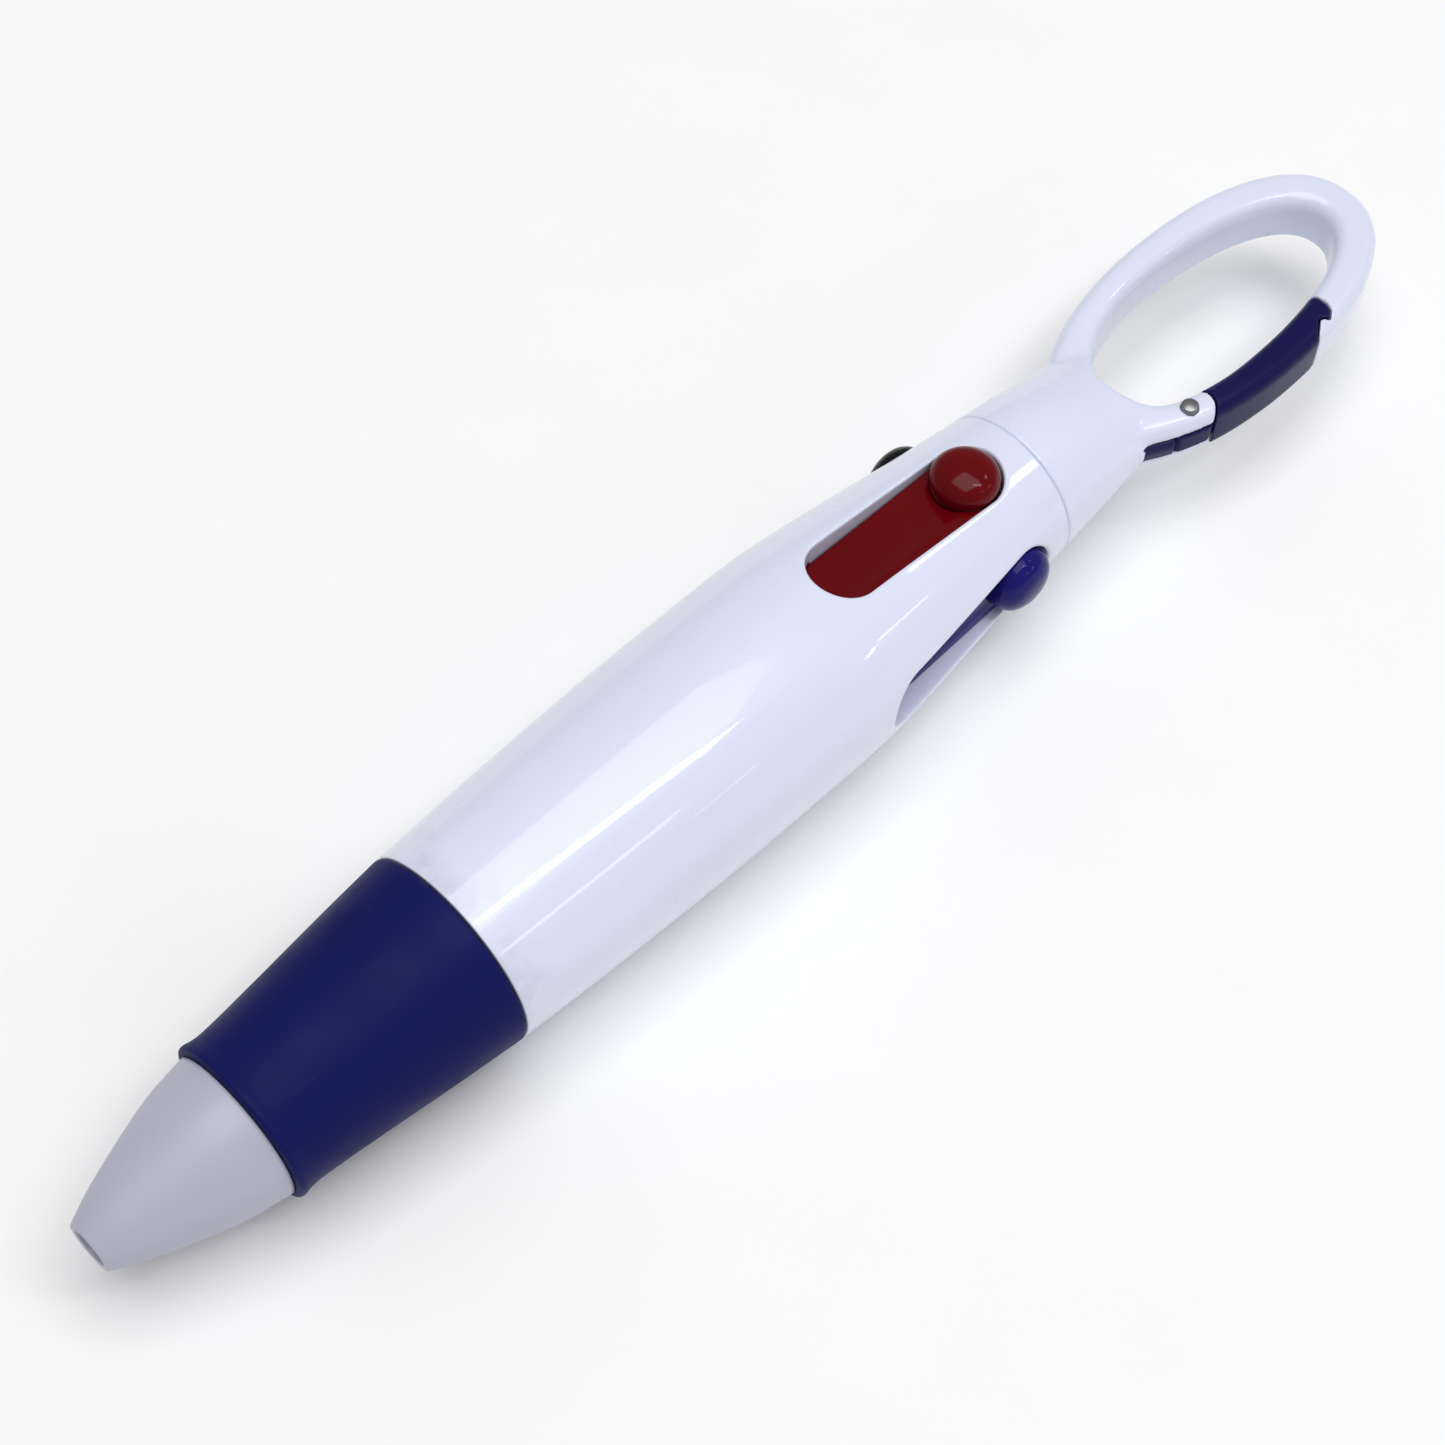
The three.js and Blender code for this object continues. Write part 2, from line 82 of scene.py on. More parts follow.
NOSE_END_INSET = 0.05
NOSE_TUBE = [(29.15, 6), (29.25, 5.75), (36.5, 5.75)]  # the seat for the grip, and the threaded end
NOSE_SHOULDER_RADIUS = 5.1
GRIP_FRONT_EDGE = (11.8, 5.5)  # the middles of its rounded edges
GRIP_REAR_EDGE = (29.05, 7.31)
GRIP_SEAT = [(29.15, 6.1), (11.7, 5.2)]
NOSE_BORE = [(0.9, 1.36), (3, 2.15), (8, 3.7), (12, 4), (20, 4.15), (29.25, 4.65), (36.5, 4.95)]

# slots in the barrel
SLOT_FRONT = 62.3
SLOT_REAR = 79.55
SLOT_RADIUS = 2.6
SLOT_RIM = 0.3  # rounding of the slot's edge
SLOT_LIP = 0.45  # thickness of the lip inside the slot
LIP_BOTTOM = 4.95
PASS_FADE = 0.12  # over this width the slot's wall rises to let the rail through
RAIL_ROOM = 6.05  # the rail passes under the slot's front end
PATCH_FRONT = 60.5  # the barrel's slotted stretch starts here
SLOT_RINGS = (0.7, 0.5)  # distances from the slot's edge that have a line of points of their own

# sliders
SLIDER_FRONT = 57.5
SLIDER_REAR = 79.3
SLIDER_RADIUS = 2.5
RAIL_BOTTOM = 4.5
RAIL_TOPS = [(57.5, 5.85), (64, 5.83), (74, 5.5), (79.3, 5.4)]
RAIL_EDGE = 0.16
GROOVE_HALF = 1.55
GROOVE_DEPTH = 0.28
GROOVE_POWER = 0.8
KNOB_MIDDLE = 76.8
KNOB_DOME = [(1, 5.2), (1, 5.95), (0.96, 6.4), (0.8, 6.93), (0.55, 7.28), (0.28, 7.42), (0, 7.45)]

BLOCK_ENDS = (57.5, 61.5)
BLOCK_HALF = 1.9
BLOCK_HEIGHTS = (3, 4.6)
BLOCK_EDGE = 0.15
PEG_OUTLINE = [(44.7, 0), (44.7, 0.5), (44.85, 0.55), (49, 0.55), (49, 0)]  # along the refill

# refills, springs
REFILL_START = (8.8, 1.75)  # the ball's front: along, from the axis
REFILL_TILT = 3.115  # degrees
POINT_OUTLINE = [
    (0.3, 0), (0.3, 0.38), (0.15, 0.42), (1.2, 0.47), (3, 0.56), (3.4, 0.66), (10, 1.13), (10.4, 1.13),
    (10.4, 0),
]
BALL_RADIUS = 0.35
SPRING_ENDS = (44.95, 57.15)
SPRING_RADIUS = 1.42
SPRING_WIRE = 0.12
SPRING_TURNS = 7

# top cap, loop and gate
PLUG_START = 79.7
PLUG_END = 84
PLUG_RADIUS = 4.75
PLUG_BORE = 2.75
NECK_EDGE = 0.09
NECK_EDGE_SHARE = 0.985
NECK = [
    (81.9, 5.93, 5.93), (84.5, 5.7, 5.55), (87.5, 5.4, 4.75), (90, 5.17, 3.9), (93, 4.9, 3), (96, 4.4, 2.3),
    (98, 3.6, 1.6),
]
LOOP_DEPTH = 4.6
LOOP_ROUND = 1.1
LOOP_ROUND_SHARE = 0.42  # of its width, the most that its rounding takes
LOOP_OUTER = {"middle": 103.6, "front": 16, "rear": 15.8, "half": 7.68, "powers": (2, 2, 2.26)}
LOOP_HOLE = {"middle": 102.3, "front": 10.5, "rear": 13.8, "half": 5.05, "powers": (1.9, 2.25, 2.16)}
JUNCTION_MIDDLE = 92.3  # where neck and loop run into each other
JUNCTION_REACH = 5.2
PIN = (95.1, -5.2)
PIN_RADIUS = 0.62
PIN_HALF = 2.6
PIN_HOLE_GAP = 0.05
PIN_DOME_RADIUS = 1.6
PIN_DOME_START = 67.2  # degrees, at the shank
ARM_RADIUS = 1.9
GATE_GAP = 0.15
GATE_HOLLOW = (55, -80)  # degrees of its round front end
LUG_RADIUS = 1.85
LUG_DEPTH = 1.6
BRIDGE_LENGTH = 3
BRIDGE_SIDES = (-1.3, 1.2)
LAP_GAP = 0.1
LEAF_START = 90.4
LEAF_REAR = 94.7
LEAF_SIDE = -3
LEAF_EDGE = 0.12
LEAF_OUTER = 0.15
LEAF_INNER = -0.5
LEAF_LAP = 0.1  # how far its end runs into the lug
GATE_NOSE = [
    (109.3, -3.4), (109.35, -5.3), (109.36, -5.9), (109.15, -6.45), (108.65, -6.85), (108.4, -6.62),
    (107.95, -6.4), (106.95, -7.2), (106.65, -7.75), (106.3, -9.2),
]

# sizes of the grids that joined shapes are redrawn on
JOIN_GRID = 0.2
CAP_GRID = 0.1
GATE_GRID = 0.08

# how they are softened afterwards: share, and how many times
JOIN_SOFTENING = (0.5, 30)
CAP_SOFTENING = (0.5, 4)
GATE_SOFTENING = (0.5, 5)

# how finely round things are drawn
LATHE_SIDES = 160
NECK_SIDES = 128
KNOB_SIDES = 96
PIN_SIDES = 48
POINT_SIDES = 48
WIRE_SIDES = 8
WIRE_STEPS = 24  # in each turn
SLOT_END_STEPS = 96
SLOT_SIDE_STEPS = 25

# each colour's place around the pen, in degrees from +Z towards -Y
PLACES = {"red": 0, "blue": 90, "green": 180, "black": 270}


# ---- curves ----

def catmull(points, steps):
    """A smooth line through points, with this many steps between each two."""
    p = np.asarray(points, float)
    p = np.vstack([2 * p[0] - p[1], p, 2 * p[-1] - p[-2]])
    t = np.linspace(0, 1, steps, endpoint=False)[:, None]
    made = [
        0.5 * (2 * b + (c - a) * t + (2 * a - 5 * b + 4 * c - d) * t**2 + (3 * b - a - 3 * c + d) * t**3)
        for a, b, c, d in zip(p, p[1:], p[2:], p[3:])
    ]
    return np.vstack([*made, p[-2]])


def profile(outline, blur=1.2, step=0.05):
    """Radius as a function of the length along, with no kinks in its slope."""
    line = catmull(outline, 40)
    x = np.arange(line[0, 0], line[-1, 0] + step, step)
    r = np.interp(x, line[:, 0], line[:, 1])
    reach = int(3 * blur / step)
    before = r[0] - (r[1:reach + 1] - r[0])[::-1]
    after = r[-1] - (r[-reach - 1:-1] - r[-1])[::-1]
    weights = np.exp(-0.5 * (np.arange(-reach, reach + 1) * step / blur) ** 2)
    smoothed = np.convolve(np.concatenate([before, r, after]), weights / weights.sum(), "valid")
    return lambda along: np.interp(along, x, smoothed)


def oval(shape, count=288):
    """A closed oval whose front half has a power for each side, +Y and -Y."""
    angle = np.linspace(0, 2 * math.pi, count, endpoint=False)
    c, s = np.cos(angle), np.sin(angle)
    left, right, rear = shape["powers"]
    power = np.where(c > 0, rear, np.where(s > 0, left, right))
    reach = np.where(c > 0, shape["rear"], shape["front"])
    x = shape["middle"] + reach * np.sign(c) * np.abs(c) ** (2 / power)
    y = shape["half"] * np.sign(s) * np.abs(s) ** (2 / power)
    return np.stack([x, y], 1)


def grown(points, distance):
    """A closed anticlockwise outline moved outwards."""
    p = np.asarray(points, float)
    before = p - np.roll(p, 1, 0)
    after = np.roll(p, -1, 0) - p
    out = [np.stack([d[:, 1], -d[:, 0]], 1) / np.linalg.norm(d, axis=1)[:, None] for d in (before, after)]
    total = out[0] + out[1]
    return p + total * (2 * distance / (total**2).sum(1))[:, None]


def arc(middle, radius, start, end, steps):
    """Points round a circle from one angle to another, in degrees."""
    angle = np.radians(np.linspace(start, end, steps + 1))
    return np.stack([middle[0] + radius * np.cos(angle), middle[1] + radius * np.sin(angle)], 1)


# ---- mesh tools ----

def solid(name, points, faces):
    """An object from points and faces, with doubled points merged and its faces turned outwards."""
    mesh = bpy.data.meshes.new(name)
    mesh.from_pydata(np.asarray(points, float).tolist(), [], [list(map(int, f)) for f in faces])
    bm = bmesh.new()
    bm.from_mesh(mesh)
    bmesh.ops.remove_doubles(bm, verts=bm.verts, dist=1e-4)
    bmesh.ops.recalc_face_normals(bm, faces=bm.faces)
    bm.to_mesh(mesh)
    bm.free()
    mesh.shade_smooth()
    obj = bpy.data.objects.new(name, mesh)
    bpy.context.scene.collection.objects.link(obj)
    return obj


def grid_faces(rows, columns, close_rows=False, close_columns=False):
    """Four-sided faces of a grid of points that is stored row after row."""
    r = np.arange(rows if close_rows else rows - 1)
    c = np.arange(columns if close_columns else columns - 1)
    a = (r[:, None] * columns + c).ravel()
    b = (r[:, None] * columns + (c + 1) % columns).ravel()
    lift = ((r[:, None] + 1) % rows - r[:, None]) * columns + 0 * c
    return np.stack([a, b, b + lift.ravel(), a + lift.ravel()], 1)


def tube(name, rings):
    """A solid through rings of equally many points, closed at both ends."""
    count = len(rings[0])
    last = (len(rings) - 1) * count
    faces = grid_faces(len(rings), count, close_columns=True).tolist()
    return solid(name, np.vstack(rings), [*faces, list(range(count)), list(range(last, last + count))])


def lathe(name, outline, sides=LATHE_SIDES):
    """A closed outline of (along, radius) turned about the pen's axis."""
    line = np.asarray(outline, float)
    angle = np.linspace(0, 2 * math.pi, sides, endpoint=False)
    x = np.repeat(line[:, :1], sides, 1)
    y = line[:, 1:] * np.sin(angle)
    z = line[:, 1:] * np.cos(angle)
    points = np.stack([x, y, z], 2).reshape(-1, 3)
    return solid(name, points, grid_faces(len(line), sides, close_rows=True, close_columns=True))


def prism(name, outline, low, high):
    """A flat outline pulled up from one height to another."""
    flat = np.asarray(outline, float)
    return tube(name, [np.c_[flat, np.full(len(flat), z)] for z in (low, high)])


def bar(name, radius, half):
    """A round bar through the gate's pin hole."""
    return prism(name, arc(PIN, radius, 0, 352.5, 47), -half, half)


def applied(obj):
    """Makes an object's modifiers part of its mesh."""
    seen = obj.evaluated_get(bpy.context.evaluated_depsgraph_get())
    made = bpy.data.meshes.new_from_object(seen)
    obj.modifiers.clear()
    obj.data = made
    made.shade_smooth()
    return obj


def combined(obj, operation, *others):
    """Cuts, joins or intersects an object with others, which are used up."""
    for other in others:
        modifier = obj.modifiers.new("combine", "BOOLEAN")
        modifier.operation = operation
        modifier.solver = "EXACT"
        modifier.object = other
        applied(obj)
        bpy.data.objects.remove(other)
    return obj


def joined(obj, *others):
    """One object that holds all these meshes."""
    bm = bmesh.new()
    for part in (obj, *others):
        bm.from_mesh(part.data)
    bm.to_mesh(obj.data)
    bm.free()
    obj.data.shade_smooth()
    for other in others:
        bpy.data.objects.remove(other)
    return obj


def remeshed(obj, size):
    modifier = obj.modifiers.new("remesh", "REMESH")
    modifier.mode = "VOXEL"
    modifier.voxel_size = size
    return applied(obj)


def softened(obj, factor, times, weigh=None):
    """Smooths a mesh; weigh gives each point's share from its place."""
    modifier = obj.modifiers.new("soften", "SMOOTH")
    modifier.factor = factor
    modifier.iterations = times
    if weigh is not None:
        co = np.empty(len(obj.data.vertices) * 3)
        obj.data.vertices.foreach_get("co", co)
        group = obj.vertex_groups.new(name="soften")
        for i, share in enumerate(weigh(co.reshape(-1, 3))):
            if share > 0:
                group.add([i], float(share), "REPLACE")
        modifier.vertex_group = "soften"
    return applied(obj)


def done(obj, material, body=None, degrees=0, stands_for=()):
    """Puts a finished piece in the frame: turned to its place, in metres, with its material and its body."""
    turn = Matrix.Rotation(math.radians(degrees), 4, "X")
    shift = Matrix.Translation(Vector((-PEN_LENGTH / 2, 0, 0)))
    obj.data.transform(Matrix.Scale(MM, 4) @ turn @ shift)
    obj.data.materials.clear()
    obj.data.materials.append(material)
    if body:
        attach(obj, body)
    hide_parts(*stands_for)
    return obj


# ---- materials ----

def linear(colour):
    """An sRGB colour, each part from 0 to 1, as the linear values that a shader takes."""
    return [c / 12.92 if c <= 0.04045 else ((c + 0.055) / 1.055) ** 2.4 for c in colour]


def toned(tone, share, lift=0.0):
    """A linear colour scaled by a share, then lifted by the same amount in each part."""
    return [min(1, share * c + lift) for c in tone]


def node_with(tree, kind, **values):
    """A new node with these values on its sockets; an underscore stands for a space."""
    node = tree.nodes.new(kind)
    for socket, value in values.items():
        node.inputs[socket.replace("_", " ")].default_value = value
    return node


def noise(tree, scale, detail=3.0, stretch=(1, 1, 1)):
    """Noise over the object's own place, in cycles per metre."""
    place = tree.nodes.new("ShaderNodeTexCoord").outputs["Object"]
    mapping = node_with(tree, "ShaderNodeMapping", Scale=stretch)
    texture = node_with(tree, "ShaderNodeTexNoise", Scale=scale, Detail=detail)
    tree.links.new(place, mapping.inputs["Vector"])
    tree.links.new(mapping.outputs["Vector"], texture.inputs["Vector"])
    return texture.outputs["Fac"]


def ranged(tree, value, span, low, high):
    """A value carried from a span to low..high, and held there outside the span."""
    node = node_with(tree, "ShaderNodeMapRange", From_Min=span[0], From_Max=span[1], To_Min=low, To_Max=high)
    tree.links.new(value, node.inputs["Value"])
    return node.outputs["Result"]


def reckoned(tree, operation, a, b):
    """Two values added or multiplied; either may be a plain number."""
    node = tree.nodes.new("ShaderNodeMath")
    node.operation = operation
    for socket, value in zip(node.inputs, (a, b)):
        if isinstance(value, (int, float)):
            socket.default_value = value
        else:
            tree.links.new(value, socket)
    return node.outputs[0]


def mixed(tree, share, a, b):
    """Colour a turned into colour b by a share; either may be a plain list."""
    node = tree.nodes.new("ShaderNodeMix")
    node.data_type = "RGBA"
    colours = [socket for socket in node.inputs if socket.type == "RGBA"]
    for socket, value in zip(colours, (a, b)):
        if isinstance(value, list):
            socket.default_value = (*value, 1)
        else:
            tree.links.new(value, socket)
    tree.links.new(share, node.inputs["Factor"])
    return next(socket for socket in node.outputs if socket.type == "RGBA")


# how large the marks on the plastic are, in cycles per metre, and the part of the noise that shows them
EVEN_SPAN = (0.3, 0.7)
MOTTLE_SCALE = 90
ROUGHNESS_SCALE = 260
ROUGHNESS_SWING = 0.15
SCUFF_SCALE = 700
SCUFF_STRETCH = (0.06, 1, 1)  # long along the pen
SCUFF_SPAN = (0.66, 0.78)
SCUFF_CUT = -0.6  # how deep a scuff is beside the grain
GRIME_SCALE = 420
GRIME_SPAN = (0.45, 0.75)
GRIME_MOST = 0.5
EDGE_SPAN = (0.52, 0.6)  # of how sharp an edge is
COAT_ROUGHNESS = 0.04


def worn_edges(tree, base, tone, amount):
    """Paler where the shape is sharp."""
    sharpness = tree.nodes.new("ShaderNodeNewGeometry").outputs["Pointiness"]
    return mixed(tree, ranged(tree, sharpness, EDGE_SPAN, 0, amount), base, toned(tone, 0.7, 0.16))


def grimed(tree, base, tone, span):
    """Grey blotches that fade out over a span along the pen, in the frame's metres."""
    split = tree.nodes.new("ShaderNodeSeparateXYZ")
    tree.links.new(tree.nodes.new("ShaderNodeTexCoord").outputs["Object"], split.inputs["Vector"])
    near = ranged(tree, split.outputs["X"], span, 1, 0)
    blotch = ranged(tree, noise(tree, GRIME_SCALE, 5), GRIME_SPAN, 0, GRIME_MOST)
    return mixed(tree, reckoned(tree, "MULTIPLY", near, blotch), base, toned(tone, 0.55))


def grained(tree, scratch, grain, depth, rise):
    """Bumps from fine moulding grain, in cycles per metre and millimetres, with the scuffs cut into it."""
    bump = node_with(tree, "ShaderNodeBump", Strength=rise, Distance=depth * MM)
    cut = reckoned(tree, "MULTIPLY", scratch, SCUFF_CUT)
    tree.links.new(reckoned(tree, "ADD", noise(tree, grain, 4), cut), bump.inputs["Height"])
    return bump.outputs["Normal"]


def moulded(name, colour, roughness, *, mottle=0.04, grain=2500, grain_depth=0.004, grain_rise=0.25,
            scuffs=0.12, specular=0.5, coat=0.0, grime=None, edge=0.0):
    """Moulded plastic: slow tone changes, fine grain, faint scuffs along the pen, worn edges and grime."""
    material = bpy.data.materials.new(name)
    material.use_nodes = True
    tree = material.node_tree
    shader = tree.nodes["Principled BSDF"]
    tone = linear(colour)

    scratch = ranged(tree, noise(tree, SCUFF_SCALE, 2, SCUFF_STRETCH), SCUFF_SPAN, 0, scuffs)
    tone_change = ranged(tree, noise(tree, MOTTLE_SCALE), EVEN_SPAN, 0, 1)
    base = mixed(tree, tone_change, toned(tone, 1 - mottle), toned(tone, 1 + mottle))
    base = mixed(tree, scratch, base, toned(tone, 0.5, 0.12))
    if edge:
        base = worn_edges(tree, base, tone, edge)
    if grime:
        base = grimed(tree, base, tone, grime)
    tree.links.new(base, shader.inputs["Base Color"])

    low, high = roughness * (1 - ROUGHNESS_SWING), roughness * (1 + ROUGHNESS_SWING)
    rough = ranged(tree, noise(tree, ROUGHNESS_SCALE, 4), EVEN_SPAN, low, high)
    tree.links.new(reckoned(tree, "ADD", rough, scratch), shader.inputs["Roughness"])
    tree.links.new(grained(tree, scratch, grain, grain_depth, grain_rise), shader.inputs["Normal"])
    shader.inputs["Specular IOR Level"].default_value = specular
    shader.inputs["Coat Weight"].default_value = coat
    shader.inputs["Coat Roughness"].default_value = COAT_ROUGHNESS
    return material


def metal(name, colour, roughness):
    """Turned or drawn metal: fine grain, scuffs and a little tarnish."""
    material = moulded(name, colour, roughness, mottle=0.12, grain=1800, grain_depth=0.01, scuffs=0.2)
    material.node_tree.nodes["Principled BSDF"].inputs["Metallic"].default_value = 1
    return material


WHITE = (0.86, 0.88, 0.96)
GRIME_REACH = (-0.0302, -0.027)  # beside the grip, in the frame's metres
SLIDER_COLOURS = {
    "red": (0.38, 0.015, 0.045),
    "blue": (0.09, 0.09, 0.4),
    "green": (0.03, 0.33, 0.16),
    "black": (0.07, 0.07, 0.08),
}
glossy = {"mottle": 0.012, "grain": 900, "grain_rise": 0.12, "coat": 0.6, "specular": 0.3}
white_gloss = moulded("white_gloss", WHITE, 0.3, scuffs=0.03, grime=GRIME_REACH, **glossy)
cap_gloss = moulded("cap_gloss", WHITE, 0.3, scuffs=0.03, **glossy)
off_white = moulded("off_white", (0.705, 0.705, 0.785), 0.42, mottle=0.03, grain=4000, grain_depth=0.01,
                    grain_rise=0.5, scuffs=0.06)
grip_blue = moulded("grip_blue", (0.065, 0.095, 0.335), 0.5, mottle=0.06, grain=5200, grain_depth=0.02,
                    grain_rise=0.6, scuffs=0.04, specular=0.06, edge=0.06)
gate_blue = moulded("gate_blue", (0.08, 0.08, 0.29), 0.3, mottle=0.08, grain=1500, scuffs=0.04, specular=0.1,
                    edge=0.08)
inner_white = moulded("inner_white", (0.88, 0.88, 0.88), 0.45, mottle=0.04)
refill_plastic = moulded("refill_plastic", (0.9, 0.9, 0.88), 0.3, mottle=0.05)
steel = metal("steel", (0.55, 0.55, 0.56), 0.32)
brass = metal("brass", (0.74, 0.6, 0.34), 0.3)
slider_plastic = {
    colour: moulded(f"slider_{colour}", tone, 0.1, mottle=0.07, grain=1100, scuffs=0.03, specular=0.14)
    for colour, tone in SLIDER_COLOURS.items()
}


# ---- nose, grip and barrel ----

def nose_cone():
    """The cone, its front hole, its shoulder behind the seam and the tube that goes into the barrel."""
    outside = catmull(NOSE_OUTLINE, 14)
    front = NOSE_OUTLINE[0][1]
    lip = arc((NOSE_END_EDGE, front - NOSE_END_INSET), NOSE_END_EDGE, 180, 105, 4)
    rim = arc((NOSE_HOLE_EDGE, NOSE_HOLE_RADIUS + NOSE_HOLE_EDGE), NOSE_HOLE_EDGE, 270, 180, 4)
    shoulder = (NOSE_SEAM, NOSE_SHOULDER_RADIUS)
    return lathe("nose_cone_skin", [*lip, *outside[1:], shoulder, *NOSE_TUBE, *NOSE_BORE[::-1], *rim])


def grip_sleeve():
    outside = catmull(GRIP_OUTLINE, 14)
    rear = arc(GRIP_REAR_EDGE, SEAM_EDGE, 80, 0, 4)
    front = arc(GRIP_FRONT_EDGE, SEAM_EDGE, 180, 110, 4)
    return lathe("grip_sleeve_skin", [*front, *outside[1:-1], *rear, *GRIP_SEAT])


def slot_edge():
    """Points round a slot's edge, flat; the way out from each; and where each one's line meets the border
    of the slot's quarter of the barrel, as (along, angle)."""
    front, rear = SLOT_FRONT + SLOT_RADIUS, SLOT_REAR - SLOT_RADIUS
    straight = np.linspace(front, rear, SLOT_SIDE_STEPS + 1)[1:-1]
    side = QUARTER / 2
    made = []

    def turn(middle, start, reach):
        for a in np.radians(np.linspace(start, start + 180, SLOT_END_STEPS + 1)):
            c, s = math.cos(a), math.sin(a)
            grow = max(abs(c), abs(s))
            meets = (middle + reach * abs(c) / grow * np.sign(c), side * s / grow)
            made.append((middle + SLOT_RADIUS * c, SLOT_RADIUS * s, c, s, *meets))

    turn(rear, -90, CAP_SEAM - SEAM_GAP - rear)
    made.extend((x, SLOT_RADIUS, 0, 1, x, side) for x in straight[::-1])
    turn(front, 90, front - PATCH_FRONT)
    made.extend((x, -SLOT_RADIUS, 0, -1, x, -side) for x in straight)
    return np.split(np.array(made), 3, axis=1)


def raised(flat, shape):
    """How high above the axis flat points are when they lie on a round shape."""
    return np.sqrt(shape(flat[:, 0]) ** 2 - flat[:, 1] ** 2)


def fanned(flat, border, share, shape):
    """Points on a round shape, a share of the way from flat ones to the border."""
    angle = np.arcsin(flat[:, 1] / shape(flat[:, 0]))
    x = flat[:, 0] * (1 - share) + border[:, 0] * share
    angle = angle * (1 - share) + border[:, 1] * share
    return np.stack([x, shape(x) * np.sin(angle), shape(x) * np.cos(angle)], 1)


def wall_bottom(edge, bore):
    """Where a slot's wall ends: at its lip, and higher at the front, where the rail passes under it."""
    in_front = edge[:, 0] < SLOT_FRONT + SLOT_RADIUS
    passes = np.clip((SLOT_RADIUS - np.abs(edge[:, 1])) / PASS_FADE, 0, 1) * in_front
    return np.minimum(LIP_BOTTOM + (RAIL_ROOM - LIP_BOTTOM) * passes, raised(edge, bore))


def patch_rings(radius, bore):
    """Rings of points round a slot: from the border in over the rounded rim, down the wall and back out."""
    edge, out, border = slot_edge()
    bottom = wall_bottom(edge, bore)
    shares = np.linspace(0, 1, 15)[1:]
    rings = [fanned(edge + out * SLOT_RINGS[0], border, share, radius) for share in shares[::-1]]
    for distance in (*SLOT_RINGS, SLOT_RIM):
        flat = edge + out * distance
        rings.append(np.c_[flat, raised(flat, radius)])
    for a in np.radians(np.linspace(75, 0, 6)):
        flat = edge + out * (SLOT_RIM * (1 - math.cos(a)))
        rings.append(np.c_[flat, raised(flat, radius) - SLOT_RIM * (1 - math.sin(a))])
    top = rings[-1][:, 2]
    rings += [np.c_[edge, top + (bottom - top) * share] for share in np.linspace(0, 1, 7)[1:]]
    lip = edge + out * SLOT_LIP
    rings.append(np.c_[lip, bottom])
    rings.append(np.c_[lip, np.maximum(raised(lip, bore), bottom)])
    return rings + [fanned(lip, border, share, bore) for share in shares]


def angles_at(along, border):
    """Angles right round the barrel of the points that the four borders have at a length along."""
    quarter = np.sort([math.atan2(y, z) for x, y, z in border if abs(x - along) < 1e-6])[:-1]
    return np.concatenate([quarter + QUARTER * i for i in range(4)])


def round_band(angles, line):
    """Points and faces of a line of (along, radius) carried round at these angles."""
    rings = [np.stack([np.full(len(angles), x), r * np.sin(angles), r * np.cos(angles)], 1) for x, r in line]
    return np.vstack(rings), grid_faces(len(line), len(angles), close_columns=True)


def front_line(radius, bore):
    """The barrel in front of its slots: forward along the outside, then back through the bore."""
    start = BARREL_OUTLINE[0][0]
    outside = []
    for a in np.radians([0, 25, 50, 75]):
        x = start + SEAM_EDGE * (1 - math.cos(a))
        outside.append((x, radius(x) - SEAM_EDGE * (1 - math.sin(a))))
    outside += [(x, radius(x)) for x in np.linspace(start + 1.2 * SEAM_EDGE, PATCH_FRONT, 90)]
    return [*outside[::-1], *[(x, bore(x)) for x in (start, *BARREL_BORE_STEPS, PATCH_FRONT)]]


def barrel():
    """Four patches with a slot each, the round front stretch, and the ring that closes the rear end."""
    radius = profile(BARREL_OUTLINE)
    bore_x, bore_r = np.array(BARREL_BORE).T

    def bore(along):
        return np.interp(along, bore_x, bore_r)

    rings = patch_rings(radius, bore)
    patch = np.vstack(rings)
    patch_faces = grid_faces(len(rings), len(rings[0]), close_columns=True)
    pieces = []
    for degrees in PLACES.values():
        c, s = math.cos(math.radians(degrees)), math.sin(math.radians(degrees))
        turn = np.array([[1, 0, 0], [0, c, -s], [0, s, c]])
        pieces.append((patch @ turn.T, patch_faces))
    end = CAP_SEAM - SEAM_GAP
    pieces.append(round_band(angles_at(PATCH_FRONT, rings[0]), front_line(radius, bore)))
    pieces.append(round_band(angles_at(end, rings[0]), [(end, radius(end)), (end, bore(end))]))
    counts = np.cumsum([0] + [len(points) for points, _ in pieces])
    faces = [made + count for (_, made), count in zip(pieces, counts)]
    return solid("barrel_skin", np.vstack([points for points, _ in pieces]), np.vstack(faces))


# ---- sliders, refills and springs, made for the red slider's place ----

def rail_section(half, top):
    """The rail across: rounded edges, a shallow hollow along its top, and a flat bottom."""
    edge = min(RAIL_EDGE, half / 2)
    y = np.linspace(-1, 1, 25) * (half - edge)
    z = top - GROOVE_DEPTH * np.clip(1 - (y / GROOVE_HALF) ** 2, 0, 1) ** GROOVE_POWER
    corner = np.radians([75, 45, 15])
    right = np.stack([half - edge + edge * np.cos(corner), top - edge + edge * np.sin(corner)], 1)
    left = right[::-1] * (-1, 1)
    return np.vstack([left, np.stack([y, z], 1), right, [(half, RAIL_BOTTOM), (-half, RAIL_BOTTOM)]])


